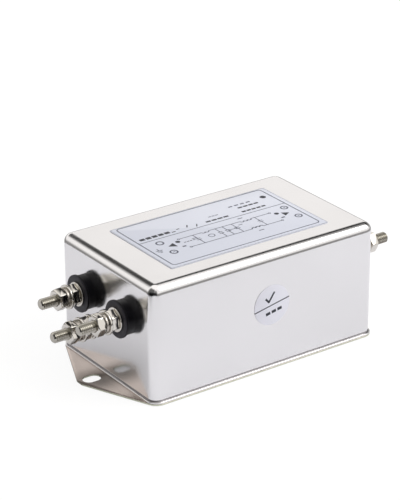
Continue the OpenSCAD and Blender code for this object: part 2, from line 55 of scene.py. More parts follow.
SHEET = 0.6          # thickness of the drawn can
FLANGE = 0.75        # how far the can's foot stands out
FOOT_BEND = 0.45     # bend between wall and foot
CORNER = 3.5         # upright corners of the can
TOP_EDGE = 3.2       # round edge along the can's top
EAR_TIP = 2.2        # rounding at the tip of a mounting ear
EAR_FLAT = 2.4       # the straight bit across that tip
SLOT = (6.8, 4.8)    # fixing slot, length and width
SLOT_OFFSET = 6.5    # from the end wall to the middle of the slot
NECK_HOLE = 4.5      # radius of the wall's holes round the bushings' necks
EARTH_HOLE = 2.1     # radius of the wall's hole for the earth stud
BORE = 2.1           # radius of a bushing's bore
NECK = (4.4, 2.0)    # radius of its neck, and how far that reaches through the wall
BARREL = 6.2         # radius of its barrel
RIM = (6.75, 1.0)    # radius and thickness of the rim round its front face
PITCH = 0.7          # pitch of the studs' thread
CORE = 1.62          # radius at the bottom of the thread
CREST = 2.0          # radius over the thread
ROOT = 0.16          # width of the flat at the bottom of the thread
FLATS = 7.0          # nuts across their flats
NUT_BORE = (1.9, 2.25)          # radius of a nut's bore, and of its countersink
NUT = 3.2            # height of a nut
TALL_NUT = 5.4       # height of the nut that holds the earth stud
WASHER = (4.4, 2.15, 0.8)       # outer radius, bore radius, thickness
SEAT_WASHER = (4.4, 2.15, 0.6)
SPRING = (3.7, 2.15)            # outer and bore radius of a spring washer
SPRING_HEIGHT = 1.2
LOOSE_SPRING = 1.8
LIFT = 0.012         # how far the ink stands on the film

# ---------------------------------------------------------------- ways of working


def let_go():
    """Nothing selected, nothing in edit mode."""
    if bpy.context.object and bpy.context.object.mode != "OBJECT":
        bpy.ops.object.mode_set(mode="OBJECT")
    bpy.ops.object.select_all(action="DESELECT")


def take(piece):
    """Only this piece selected, and active."""
    let_go()
    piece.select_set(True)
    bpy.context.view_layer.objects.active = piece


def named(name):
    """Names the piece just made, and its mesh."""
    piece = bpy.context.object
    piece.name = name
    piece.data.name = name
    return piece


def settle(piece):
    """The piece's place goes into its mesh."""
    take(piece)
    bpy.ops.object.transform_apply(location=True, rotation=True, scale=True)


def pick(piece, kind, passes):
    """In edit mode, selects the faces, edges or points that pass, and nothing else."""
    bpy.ops.mesh.select_mode(type=kind)
    bpy.ops.mesh.select_all(action="DESELECT")
    shape = bmesh.from_edit_mesh(piece.data)
    parts = {"FACE": shape.faces, "EDGE": shape.edges, "VERT": shape.verts}[kind]
    for part in parts:
        if passes(part):
            part.select_set(True)
    shape.select_flush_mode()
    bmesh.update_edit_mesh(piece.data)


def middle(part):
    """The middle of an edge or face in edit mode."""
    return sum((v.co for v in part.verts), Vector()) / len(part.verts)


def use(piece, kind, **settings):
    """Adds a modifier, sets it and applies it."""
    take(piece)
    made = piece.modifiers.new(kind.lower(), kind)
    for name, value in settings.items():
        setattr(made, name, value)
    bpy.ops.object.modifier_apply(modifier=made.name)


def smooth(piece, angle=32):
    """Smooth shading across edges flatter than `angle` degrees."""
    take(piece)
    bpy.ops.object.shade_smooth_by_angle(angle=math.radians(angle))


def cut(piece, tool, how="DIFFERENCE"):
    """Cuts a piece with a tool, which is used up."""
    use(piece, "BOOLEAN", operation=how, object=tool, solver="EXACT")
    bpy.data.objects.remove(tool)


def joined(pieces, name):
    """Makes one piece of several."""
    take(pieces[0])
    for piece in pieces[1:]:
        piece.select_set(True)
    bpy.ops.object.join()
    return named(name)


def twin(piece, name):
    """A copy with a mesh of its own."""
    copy = piece.copy()
    copy.data = piece.data.copy()
    copy.name = copy.data.name = name
    bpy.context.scene.collection.objects.link(copy)
    return copy


def traced(name, points):
    """In edit mode at the end: one point, drawn out from point to point, in mm."""
    let_go()
    bpy.ops.mesh.primitive_plane_add(size=MM, location=(0, 0, 0))
    piece = named(name)
    bpy.ops.object.mode_set(mode="EDIT")
    bpy.ops.mesh.select_mode(type="VERT")
    bpy.ops.mesh.select_all(action="SELECT")
    bpy.ops.mesh.merge(type="CENTER")
    bpy.ops.transform.translate(value=[c * MM for c in points[0]])
    for here, there in zip(points, points[1:]):
        step = [(b - a) * MM for a, b in zip(here, there)]
        bpy.ops.mesh.extrude_region_move(TRANSFORM_OT_translate={"value": step})
    return piece


def turned(name, outline, steps=72, edge=0.0, rounds=3):
    """A turned piece: an outline of (radius, height) points spun round Z. One that
    starts off the axis is closed first, so that it leaves a bore."""
    piece = traced(name, [(r, 0, h) for r, h in outline])
    if outline[0][0] > 0:
        shape = bmesh.from_edit_mesh(piece.data)
        ends = [v for v in shape.verts if len(v.link_edges) == 1]
        shape.edges.new(ends)
        bmesh.update_edit_mesh(piece.data)
    bpy.ops.mesh.select_all(action="SELECT")
    bpy.ops.mesh.spin(steps=steps, angle=2 * math.pi, center=(0, 0, 0), axis=(0, 0, 1))
    bpy.ops.mesh.select_all(action="SELECT")
    bpy.ops.mesh.remove_doubles(threshold=1e-6)
    bpy.ops.mesh.normals_make_consistent(inside=False)
    bpy.ops.object.mode_set(mode="OBJECT")
    if edge:
        use(piece, "BEVEL", width=edge * MM, segments=rounds, limit_method="ANGLE",
            angle_limit=math.radians(35), use_clamp_overlap=True)
    smooth(piece)
    return piece


# ---------------------------------------------------------------- finishes


def linear(code):
    """sRGB hex to the linear colour that a socket takes."""
    parts = [int(code[i:i + 2], 16) / 255 for i in (1, 3, 5)]
    return tuple(c / 12.92 if c <= 0.04045 else ((c + 0.055) / 1.055) ** 2.4 for c in parts) + (1.0,)


def add(tree, kind, settings=None, links=None):
    """Adds a node, sets its properties and sockets, and links its inputs."""
    made = tree.nodes.new(kind)
    for name, value in (settings or {}).items():
        if isinstance(name, str) and hasattr(made, name):
            setattr(made, name, value)
        else:
            made.inputs[name].default_value = value
    for socket, source in (links or {}).items():
        tree.links.new(source, made.inputs[socket])
    return made


def ramp(tree, value, low, high, start=0.0, stop=1.0):
    """A smooth step from `start` to `stop` as `value` goes from low to high."""
    return add(tree, "ShaderNodeMapRange", {"interpolation_type": "SMOOTHSTEP", "From Min": low,
                                            "From Max": high, "To Min": start, "To Max": stop},
               {"Value": value}).outputs["Result"]


def blank(name):
    """A new material with an empty node tree."""
    made = bpy.data.materials.new(name)
    made.use_nodes = True
    tree = made.node_tree
    tree.nodes.clear()
    return made, tree


def finish_of(name, colour, shade, spread, grain, depth, settings, rough=None, stretch=(1, 1, 1)):
    """A finish whose colour drifts a little from one hex value to another over
    `spread` mm, with a grain `grain` mm wide and `depth` mm deep. `rough` is the
    least and most roughness, which follow the same drift."""
    made, tree = blank(name)
    place = add(tree, "ShaderNodeTexCoord")
    turn = add(tree, "ShaderNodeMapping", {"Scale": stretch}, {"Vector": place.outputs["Object"]})
    drift = add(tree, "ShaderNodeTexNoise", {"Scale": 1 / (spread * MM), "Detail": 3.0},
                {"Vector": place.outputs["Object"]})
    tint = add(tree, "ShaderNodeMix", {"data_type": "RGBA"}, {0: drift.outputs["Fac"]})
    tint.inputs[6].default_value = linear(colour)
    tint.inputs[7].default_value = linear(shade)
    fine = add(tree, "ShaderNodeTexNoise", {"Scale": 1 / (grain * MM), "Detail": 2.0},
               {"Vector": turn.outputs["Vector"]})
    bump = add(tree, "ShaderNodeBump", {"Strength": 1.0, "Distance": depth * MM},
               {"Height": fine.outputs["Fac"]})
    links = {"Base Color": tint.outputs[2], "Normal": bump.outputs["Normal"]}
    if rough:
        dullness = add(tree, "ShaderNodeMapRange", {"From Min": 0.3, "From Max": 0.7,
                                                    "To Min": rough[0], "To Max": rough[1]},
                       {"Value": drift.outputs["Fac"]})
        links["Roughness"] = dullness.outputs["Result"]
    surface = add(tree, "ShaderNodeBsdfPrincipled", settings, links)
    add(tree, "ShaderNodeOutputMaterial", None, {"Surface": surface.outputs["BSDF"]})
    return made


def painted_shade_on(finish, centre, reach, colour):
    """Paints shade into a finish: darkens it towards `centre`, out to `reach`, both in mm."""
    tree = finish.node_tree
    surface = next(n for n in tree.nodes if n.type == "BSDF_PRINCIPLED")
    plain = surface.inputs["Base Color"].links[0].from_socket
    place = add(tree, "ShaderNodeTexCoord")
    away = add(tree, "ShaderNodeVectorMath", {"operation": "SUBTRACT", 1: [c * MM for c in centre]},
               {0: place.outputs["Object"]})
    squash = add(tree, "ShaderNodeVectorMath", {"operation": "DIVIDE", 1: [r * MM for r in reach]},
                 {0: away.outputs["Vector"]})
    far = add(tree, "ShaderNodeVectorMath", {"operation": "LENGTH"}, {0: squash.outputs["Vector"]})
    fade = ramp(tree, far.outputs["Value"], 0.1, 1.0, 1.0, 0.0)
    # the painted shade, mixed into the finish's colour
    painted_shade = add(tree, "ShaderNodeMix", {"data_type": "RGBA"}, {0: fade, 6: plain})
    painted_shade.inputs[7].default_value = linear(colour)
    tree.links.new(painted_shade.outputs[2], surface.inputs["Base Color"])


# Bright nickel-plated steel sheet, deep drawn: the plate mirrors the room softly, and the
# drawing leaves a faint orange peel that only shows as an uneven edge to reflections.
can_steel = finish_of("nickel_plated_drawn_steel", "#e9e8e8", "#e5e4e4", 28, 5.0, 0.0015,
                      {"Metallic": 1.0}, rough=(0.15, 0.19))
# The same plating on flat punched sheet, a good deal duller and browner from handling.
plate_steel = finish_of("nickel_plated_sheet", "#c6bbb4", "#b8ada6", 9, 1.4, 0.002,
                        {"Metallic": 1.0}, rough=(0.14, 0.22))
# Painted shadow over one ear, from its slot to the crease, soft at its edge.
painted_shade_on(plate_steel, (-52.5, -2.4, 0.6), (14.0, 11.0, 11.0), "#5a534d")
# Painted shade in the crease where wall meets foot: a thin dark line.
crease_shade = finish_of("crease_painted_shade", "#8b888a", "#7d7a7b", 3, 0.5, 0.002,
                        {"Metallic": 1.0}, rough=(0.3, 0.4))
# The plate's cut edges in a dark olive: painted shade.
edge_shade_dark = finish_of("plate_edge_painted_shade_dark", "#8a8878", "#7a7868", 2, 0.4, 0.002,
                          {"Metallic": 1.0}, rough=(0.3, 0.42))
# A paler olive copy for the cut edges along the sides and facing the front: painted shade too, lighter
# there.
edge_shade_pale = finish_of("plate_edge_painted_shade_pale", "#d6d8c4", "#cccfba", 2, 0.4, 0.002,
                           {"Metallic": 1.0}, rough=(0.3, 0.42))
# Bright nickel on machined nuts and stamped washers: harder, sharper reflections.
nut_nickel = finish_of("bright_nickel_plate", "#dbd8d1", "#cfcbc4", 3, 0.6, 0.0012,
                       {"Metallic": 1.0}, rough=(0.06, 0.12))
# Rolled thread under nickel: the crests are polished and the roots stay dull.
thread_nickel = finish_of("nickel_plated_thread", "#bcb9b0", "#a9a59b", 2, 0.4, 0.001,
                          {"Metallic": 1.0}, rough=(0.10, 0.20))
# Hardened spring steel under a thin plating, greyer than the nuts.
spring_steel = finish_of("plated_spring_steel", "#c4bfb7", "#b0aaa2", 2, 0.5, 0.0015,
                         {"Metallic": 1.0}, rough=(0.2, 0.3))
# Black moulded phenolic: a deep black skin with little shine.
phenolic = finish_of("moulded_black_phenolic", "#0a090e", "#100f15", 2.5, 0.35, 0.004,
                     {"IOR": 1.6, "Specular IOR Level": 0.13}, rough=(0.34, 0.46))
# The bushings' front faces: a lighter violet-grey black, a painted highlight, with more shine than the
# barrel.
phenolic_face_highlight = finish_of("black_phenolic_painted_highlight", "#201e2a", "#1a1824", 2.0, 0.3, 0.004,
                          {"IOR": 1.6, "Specular IOR Level": 0.35}, rough=(0.40, 0.52))
# Printed polyester film: pale, even, with a thin gloss.
film = finish_of("printed_polyester_film", "#e4e8f4", "#e0e4f0", 18, 0.9, 0.001,
                 {"IOR": 1.5}, rough=(0.30, 0.36))
# Coated sticker paper.
paper = finish_of("coated_sticker_paper", "#ebebf4", "#e6e7f0", 6, 0.25, 0.002,
                  {"IOR": 1.45}, rough=(0.45, 0.55))
# Screen-printed ink, dark blue grey, a hair rougher than the film.
ink = finish_of("screen_printed_ink", "#4d5263", "#5a5f70", 1.5, 0.3, 0.001,
                {"IOR": 1.5}, rough=(0.4, 0.5))
# The same ink laid on thick, nearly black.
heavy_ink = finish_of("heavy_printed_ink", "#22252f", "#30333e", 1.2, 0.3, 0.001,
                      {"IOR": 1.5}, rough=(0.4, 0.5))

# Finishes of what sits inside the can.
INNER_FINISHES = {
    # dark grey moulded phenolic
    "grey_moulding": finish_of("moulded_grey_phenolic", "#46464a", "#3d3d41", 3, 0.4, 0.004,
                               {"IOR": 1.6}, rough=(0.4, 0.5)),
    # rolled brass strip, with the rolling lines along its length
    "brass_strip": finish_of("rolled_brass", "#d9b978", "#c9a765", 4, 0.3, 0.001,
                             {"Metallic": 1.0}, rough=(0.25, 0.35), stretch=(1, 1, 0.1)),
    # pressed insulating board, fibrous and matt
    "fishpaper": finish_of("pressed_insulating_board", "#cfc7a8", "#c2b896", 2, 0.3, 0.01,
                           {"IOR": 1.45}, rough=(0.75, 0.85)),
    # natural nylon
    "white_moulding": finish_of("natural_nylon", "#e6e4da", "#dedbcf", 5, 0.5, 0.002,
                                {"IOR": 1.53}, rough=(0.4, 0.5)),
    # glass laminate with its weave faint under the resin
    "board_laminate": finish_of("glass_laminate", "#2f6b45", "#275c3b", 1.2, 0.5, 0.002,
                                {"IOR": 1.55}, rough=(0.35, 0.45)),
    # epoxy-coated ferrite
    "ferrite": finish_of("coated_ferrite", "#35383a", "#2d2f31", 2, 0.4, 0.01,
                         {"IOR": 1.5}, rough=(0.5, 0.6)),
    # copper wire under clear enamel
    "enamelled_copper": finish_of("enamelled_copper", "#b4602f", "#a05024", 2, 0.3, 0.0005,
                                  {"Metallic": 1.0}, rough=(0.22, 0.3)),
    # yellow moulded capacitor box
    "capacitor_case": finish_of("yellow_moulded_box", "#d8bd4a", "#cdb13f", 5, 0.6, 0.002,
                                {"IOR": 1.5}, rough=(0.35, 0.45)),
    # blue dipped coating, wet looking
    "disc_coating": finish_of("blue_dipped_coating", "#2f63a8", "#28579a", 2, 0.8, 0.006,
                              {"IOR": 1.5}, rough=(0.2, 0.3)),
    # tan lacquer
    "resistor_coating": finish_of("tan_lacquer", "#c09a6b", "#b38c5c", 2, 0.6, 0.004,
                                  {"IOR": 1.5}, rough=(0.3, 0.4)),
    "nickel_hardware": nut_nickel,
}

# ---------------------------------------------------------------- placing


def placed(piece, side, y, z, station=0.0, turn=0.0):
    """Puts a piece that points along +Z on an end wall, `station` mm out from it,
    turned about its own axis by `turn` degrees first."""
    piece.matrix_world = (
        Matrix.Translation((side * (WALL_X + station * MM), y, z))
        @ Matrix.Rotation(side * math.pi / 2, 4, "Y")
        @ Matrix.Rotation(math.radians(turn), 4, "Z")
    )
    settle(piece)
    return piece


def dressed(piece, finish, slot, *stands_for):
    """Finishes a piece, ties it to the body and hides the CAD nodes it stands for."""
    piece.data.materials.clear()
    piece.data.materials.append(finish)
    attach(piece, "root")
    if stands_for:
        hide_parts(*stands_for)
    return piece


def also(piece, finish, passes):
    """The faces that pass take a second finish."""
    piece.data.materials.append(finish)
    for face in piece.data.polygons:
        if passes(face):
            face.material_index = len(piece.data.materials) - 1


case_low, case_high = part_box("case")
_, plate_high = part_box("base_plate")
WALL_X = case_high.x - FLANGE * MM
WALL_Y = case_high.y - FLANGE * MM
PLATE = plate_high.z


def centred(node):
    """The middle, the lowest and the highest corner of a CAD node."""
    low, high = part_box(node)
    return (low + high) / 2, low, high


def fitted(pattern, name, side, axis, station, turn, finish, slot, node):
    """A copy of a pattern on an end wall, dressed and standing for `node`."""
    made = twin(pattern, name)
    placed(made, side, axis.y, axis.z, station, turn)
    return dressed(made, finish, slot, node)


# each power terminal's end wall, as the sign of its X
POWER = {"line_near": -1, "line_far": -1, "load_near": 1, "load_far": 1}
earth_centre, earth_low, earth_high = centred("earth_stud")

# ---------------------------------------------------------------- can


def quarter(steps):
    """Angles of a quarter turn, both ends included."""
    return [math.pi / 2 * i / steps for i in range(steps + 1)]


def drawn_can():
    """The flange's outline, taken up in one sheet: foot, bend, walls, round top."""
    let_go()
    bpy.ops.mesh.primitive_plane_add(size=1, location=(0, 0, PLATE + SHEET * MM))
    can = named("drawn_can")
    can.scale = (case_high.x - case_low.x, case_high.y - case_low.y, 1)
    settle(can)
    bpy.ops.object.mode_set(mode="EDIT")
    bpy.ops.mesh.select_all(action="SELECT")
    bpy.ops.mesh.bevel(offset=(CORNER + FLANGE) * MM, segments=14, affect="VERTICES", profile=0.5)
    pick(can, "FACE", lambda face: True)
    bpy.ops.mesh.inset(thickness=(FLANGE - FOOT_BEND) * MM, depth=0)
    bend = [(FOOT_BEND * (1 - math.sin(a)), FOOT_BEND * (1 - math.cos(a))) for a in quarter(7)]
    for (out_a, up_a), (out_b, up_b) in zip(bend, bend[1:]):
        bpy.ops.mesh.inset(thickness=(out_a - out_b) * MM, depth=(up_b - up_a) * MM)
    wall = (case_high.z - PLATE) / MM - SHEET - FOOT_BEND - TOP_EDGE
    # short steps at foot and top keep the smooth shading of the bends off the flat wall
    foot_step, top_step = 0.12, 0.5
    for rise in (foot_step, wall - foot_step - top_step, top_step):
        bpy.ops.mesh.extrude_region_move(TRANSFORM_OT_translate={"value": (0, 0, rise * MM)})
    edge = [(TOP_EDGE * (1 - math.cos(a)), TOP_EDGE * math.sin(a)) for a in quarter(14)]
    for (in_a, up_a), (in_b, up_b) in zip(edge, edge[1:]):
        bpy.ops.mesh.inset(thickness=(in_b - in_a) * MM, depth=(up_b - up_a) * MM)
    bpy.ops.mesh.inset(thickness=0.15 * MM, depth=0)
    bpy.ops.object.mode_set(mode="OBJECT")
    use(can, "SOLIDIFY", thickness=SHEET * MM, offset=-1.0, use_even_offset=True)
    # the trimmed foot has rolled edges, which catch a bright line
    use(can, "BEVEL", width=0.2 * MM, segments=3, limit_method="ANGLE",
        angle_limit=math.radians(60))
    return can


def wall_hole(side, y, z, radius):
    """The punch for a round hole in an end wall."""
    let_go()
    bpy.ops.mesh.primitive_cylinder_add(vertices=64, radius=radius * MM, depth=3 * MM,
                                        location=(side * WALL_X, y, z),
                                        rotation=(0, math.pi / 2, 0))
    hole = named("wall_hole")
    settle(hole)
    return hole


can = drawn_can()
for end, side in POWER.items():
    centre, _, _ = centred("stud_" + end)
    cut(can, wall_hole(side, centre.y, centre.z, NECK_HOLE))
cut(can, wall_hole(-1, earth_centre.y, earth_centre.z, EARTH_HOLE))
smooth(can, 30)
dressed(can, can_steel, "tinplate", "case")
# the outward faces of the foot's bend, and a hair of the wall above it, take the painted crease shade
crease_low = PLATE + (SHEET + 0.02) * MM
crease_high = PLATE + (SHEET + FOOT_BEND + 0.14) * MM
also(can, crease_shade, lambda face: crease_low < face.center.z < crease_high
     and face.normal.x * face.center.x + face.normal.y * face.center.y + face.normal.z * MM > 0)

# ---------------------------------------------------------------- plate


def slotted_plate():
    """The can's outline run out to a tip at each end, with a slot in each ear."""
    flange_r = CORNER + FLANGE
    corner_x, corner_y = case_high.x / MM - flange_r, case_high.y / MM - flange_r
    tip_x = plate_high.x / MM
    tip_y = EAR_FLAT / 2
    run = Vector((tip_x - EAR_TIP - corner_x, tip_y - corner_y))
    lean = math.atan2(run.y, run.x) + math.acos((flange_r - EAR_TIP) / run.length)
    reach = math.cos(lean) * corner_x + math.sin(lean) * corner_y + flange_r
    side_y = corner_y + flange_r
    shoulder_x = (reach - math.sin(lean) * side_y) / math.cos(lean)
    end_y = (reach - math.cos(lean) * tip_x) / math.sin(lean)
    let_go()
    bpy.ops.mesh.primitive_plane_add(size=1, location=(0, 0, PLATE))
    plate = named("slotted_plate")
    plate.scale = (2 * shoulder_x * MM, 2 * side_y * MM, 1)
    settle(plate)
    bpy.ops.object.mode_set(mode="EDIT")
    for side in (-1, 1):
        pick(plate, "EDGE", lambda e: side * middle(e).x > (shoulder_x - 0.1) * MM)
        bpy.ops.mesh.extrude_region_move(
            TRANSFORM_OT_translate={"value": (side * (tip_x - shoulder_x) * MM, 0, 0)})
        bpy.ops.transform.resize(value=(1, end_y / side_y, 1), center_override=(side * tip_x * MM, 0, 0))
    bpy.ops.mesh.select_all(action="SELECT")
    bpy.ops.mesh.dissolve_limited(angle_limit=math.radians(1))
    pick(plate, "VERT", lambda v: abs(v.co.x) < (tip_x - 1) * MM)
    bend = math.pi / 2 - lean
    bpy.ops.mesh.bevel(offset=flange_r * math.tan(bend / 2) * MM, segments=14,
                       affect="VERTICES", profile=0.5)
    pick(plate, "VERT", lambda v: abs(v.co.x) > (tip_x - 0.01) * MM)
    bpy.ops.mesh.bevel(offset=EAR_TIP * math.tan(lean / 2) * MM, segments=6,
                       affect="VERTICES", profile=0.5)
    bpy.ops.object.mode_set(mode="OBJECT")
    use(plate, "SOLIDIFY", thickness=PLATE, offset=-1.0)
    for side in (-1, 1):
        cut(plate, slot_punch(side * (WALL_X / MM + SLOT_OFFSET)))
    use(plate, "BEVEL", width=0.14 * MM, segments=3, limit_method="ANGLE",
        angle_limit=math.radians(50))
    smooth(plate, 32)
    return plate


def slot_punch(x):
    """The punch for an ear's slot: a block with two round ends."""
    let_go()
    bpy.ops.mesh.primitive_cube_add(size=1, location=(x * MM, 0, PLATE / 2))
    punch = named("slot_punch")
    punch.scale = (SLOT[0] * MM, SLOT[1] * MM, 3 * PLATE)
    settle(punch)
    bpy.ops.object.mode_set(mode="EDIT")
    pick(punch, "EDGE", lambda e: abs(e.verts[0].co.z - e.verts[1].co.z) > PLATE)
    bpy.ops.mesh.bevel(offset=SLOT[1] / 2 * 0.999 * MM, segments=16, affect="EDGES", profile=0.5)
    bpy.ops.object.mode_set(mode="OBJECT")
    return punch


plate = slotted_plate()
dressed(plate, plate_steel, "plated_steel", "base_plate")
# cut edges take painted shade, darker at the ear ends and paler along the sides
also(plate, edge_shade_dark, lambda face: abs(face.normal.z) < 0.4)
also(plate, edge_shade_pale, lambda face: abs(face.normal.z) < 0.4
     and (abs(face.center.y) > WALL_Y or face.normal.y < -0.2))

# ---------------------------------------------------------------- terminals


bushing_low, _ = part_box("bushing_line_near")
BUSHING = -WALL_X / MM - bushing_low.x / MM      # how far a bushing stands out


def bushing():
    """Stepped phenolic bushing: neck through the wall, barrel, and a proud front rim."""
    neck, reach = NECK
    rim, thick = RIM
    sunk = 0.3       # the barrel's back lies in the wall's sheet
    dish = 0.04      # the face is a little lower inside the rim
    return turned("bushing", [
        (BORE, -reach), (neck, -reach), (neck, -sunk), (BARREL, -sunk), (BARREL, BUSHING - thick),
        (rim, BUSHING - thick), (rim, BUSHING), (5.0, BUSHING), (4.8, BUSHING - dish),
        (BORE, BUSHING - dish),
    ], steps=96, edge=0.22, rounds=3)


def threaded_stud(name, start, stop):
    """Rolled thread: one pitch of its outline wound into a long screw, then cut to
    length by a blank whose ends are chamfered."""
    spare = 2        # turns past each end, for the blank to cut away
    turns = math.ceil((stop - start) / PITCH) + 2 * spare
    top = (ROOT + PITCH) / 2
    crest = [(CREST - fall, top + along)
             for along, fall in ((-0.085, 0.07), (-0.045, 0.015), (0, 0), (0.045, 0.015), (0.085, 0.07))]
    outline = [(CORE, 0), (CORE, ROOT)] + crest + [(CORE, PITCH)]
    stud = traced(name, [(r, 0, start - spare * PITCH + h) for r, h in outline])
    bpy.ops.object.mode_set(mode="OBJECT")
    use(stud, "SCREW", angle=2 * math.pi, screw_offset=PITCH * MM, iterations=turns,
        steps=32, render_steps=32, axis="Z", use_merge_vertices=True, merge_threshold=1e-6)
    bpy.ops.object.mode_set(mode="EDIT")
    bpy.ops.mesh.select_all(action="SELECT")
    bpy.ops.mesh.remove_doubles(threshold=1e-6)
    bpy.ops.mesh.select_all(action="DESELECT")
    bpy.ops.mesh.select_mode(type="EDGE")
    bpy.ops.mesh.select_non_manifold(extend=False)
    bpy.ops.mesh.edge_face_add()
    bpy.ops.mesh.select_all(action="SELECT")
    bpy.ops.mesh.normals_make_consistent(inside=False)
    bpy.ops.object.mode_set(mode="OBJECT")
    clear, chamfer = CREST + 0.05, 0.6
    blank_rod = turned("stud_blank", [
        (0.0, start), (clear - chamfer, start), (clear, start + chamfer), (clear, stop - chamfer),
        (clear - chamfer, stop), (0.0, stop),
    ], steps=48)
    cut(stud, blank_rod, "INTERSECT")
    smooth(stud, 40)
    return stud


def hex_nut(name, height):
    """Hexagon bar with both faces chamfered and a countersunk bore."""
    corner = FLATS / 2 / math.cos(math.pi / 6)
    face_r = FLATS / 2 - 0.25
    drop = (corner - face_r) * math.tan(math.pi / 6)
    past = corner + 0.02
    bore, sunk_bore = NUT_BORE
    sink = sunk_bore - bore
    nut = turned(name, [
        (bore, sink), (sunk_bore, 0.0), (face_r, 0.0), (past, drop), (past, height - drop),
        (face_r, height), (sunk_bore, height), (bore, height - sink),
    ], steps=72)
    let_go()
    # a primitive's first corner lies on +Y, and the turns are counted from one on +X
    bpy.ops.mesh.primitive_cylinder_add(vertices=6, radius=corner * MM, depth=height * 2 * MM,
                                        location=(0, 0, height / 2 * MM),
                                        rotation=(0, 0, math.pi / 6))
    hexagon = named("hex_bar")
    settle(hexagon)
    cut(nut, hexagon, "INTERSECT")
    use(nut, "BEVEL", width=0.1 * MM, segments=3, limit_method="ANGLE",
        angle_limit=math.radians(24), use_clamp_overlap=True)
    smooth(nut, 35)
    return nut


def washer(name, sizes):
    """Flat stamped washer with eased edges."""
    outer, bore, thick = sizes
    return turned(name, [(bore, 0.0), (outer, 0.0), (outer, thick), (bore, thick)],
                  steps=72, edge=0.16, rounds=3)


def spring_washer(name, height):
    """One turn of square wire, with its two ends a little apart at the cut."""
    outer, bore = SPRING
    lift = 0.18
    thick = height - lift
    let_go()
    bpy.ops.mesh.primitive_plane_add(size=1, location=((outer + bore) / 2 * MM, 0, thick / 2 * MM),
                                     rotation=(math.pi / 2, 0, 0))
    wire = named(name)
    wire.scale = ((outer - bore) * MM, thick * MM, 1)
    settle(wire)
    bpy.ops.object.mode_set(mode="EDIT")
    bpy.ops.mesh.select_all(action="SELECT")
    bpy.ops.mesh.bevel(offset=0.14 * MM, segments=3, affect="VERTICES", profile=0.5)
    bpy.ops.mesh.select_all(action="SELECT")
    bpy.ops.mesh.delete(type="ONLY_FACE")
    bpy.ops.object.mode_set(mode="OBJECT")
    use(wire, "SCREW", angle=math.radians(350), screw_offset=lift * MM, iterations=1,
        steps=64, render_steps=64, axis="Z")
    bpy.ops.object.mode_set(mode="EDIT")
    bpy.ops.mesh.select_mode(type="EDGE")
    bpy.ops.mesh.select_all(action="DESELECT")
    bpy.ops.mesh.select_non_manifold(extend=False)
    bpy.ops.mesh.fill_holes(sides=0)
    bpy.ops.mesh.select_all(action="SELECT")
    bpy.ops.mesh.normals_make_consistent(inside=False)
    bpy.ops.object.mode_set(mode="OBJECT")
    smooth(wire, 35)
    return wire


first_bushing = bushing()
first_nut = hex_nut("nut", NUT)
tall_nut = hex_nut("tall_nut", TALL_NUT)
first_washer = washer("flat_washer", WASHER)
first_seat = washer("seat_washer", SEAT_WASHER)
first_spring = spring_washer("spring_washer", SPRING_HEIGHT)
loose_spring = spring_washer("loose_spring_washer", LOOSE_SPRING)

power_low, power_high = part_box("stud_line_near")
power_stud = threaded_stud("power_stud", -(power_high.x + WALL_X) / MM, -(power_low.x + WALL_X) / MM)
long_stud = threaded_stud("earth_stud_thread", -(earth_high.x + WALL_X) / MM,
                          -(earth_low.x + WALL_X) / MM)


def stacked(rows, end, side, axis, at):
    """Puts nuts and washers on a stud, from `at` mm off the wall outwards. A row is a
    pattern, its name, height and turn, and the CAD node that it stands for."""
    for pattern, kind, height, turn, node in rows:
        finish, slot = nut_nickel, "nickel_hardware"
        if kind == "spring_washer":
            finish, slot = spring_steel, "spring_steel"
        fitted(pattern, kind + "_" + end, side, axis, at, turn, finish, slot, node)
        at += height


# how each terminal's nuts happen to be turned, in degrees
CLAMP_TURNS = (4, 12, 14, 40)
WIRE_TURNS = (28, 10, 25, 10)

for i, (end, side) in enumerate(POWER.items()):
    centre, _, _ = centred("stud_" + end)
    body = fitted(first_bushing, "bushing_body_" + end, side, centre, 0, 0, phenolic,
                  "black_moulding", "bushing_" + end)
    # the front faces take the painted highlight
    also(body, phenolic_face_highlight, lambda face: abs(face.center.x) > WALL_X + (BUSHING - 0.1) * MM)
    fitted(power_stud, "thread_" + end, side, centre, 0, 40 * i, thread_nickel, "nickel_thread",
           "stud_" + end)
    stacked([
        (first_seat, "seat_washer", SEAT_WASHER[2], 0, "seat_washers"),
        (first_nut, "clamp_nut", NUT, CLAMP_TURNS[i], "clamp_nuts"),
        (first_washer, "flat_washer", WASHER[2], 0, "flat_washers"),
        (first_spring, "spring_washer", SPRING_HEIGHT, 100 + 70 * i, "spring_washers"),
        (first_nut, "wire_nut", NUT, WIRE_TURNS[i], "wire_nuts"),
    ], end, side, centre, BUSHING)

fitted(long_stud, "thread_earth", -1, earth_centre, 0, 0, thread_nickel, "nickel_thread", "earth_stud")
stacked([
    (first_washer, "wall_washer", WASHER[2], 0, "seat_washers"),
    (tall_nut, "tall_nut", TALL_NUT, 20, "earth_fixing_nut"),
    (first_washer, "seat_washer", WASHER[2], 0, "seat_washers"),
    (first_nut, "clamp_nut", NUT, 21, "clamp_nuts"),
    (first_washer, "flat_washer", WASHER[2], 0, "flat_washers"),
    (loose_spring, "spring_washer", LOOSE_SPRING, 60, "spring_washers"),
    (first_nut, "wire_nut", NUT, 22, "wire_nuts"),
], "earth", -1, earth_centre, 0)

for pattern in (first_bushing, first_nut, tall_nut, first_washer, first_seat, first_spring,
                loose_spring, power_stud, long_stud):
    bpy.data.objects.remove(pattern)

# ---------------------------------------------------------------- label and sticker


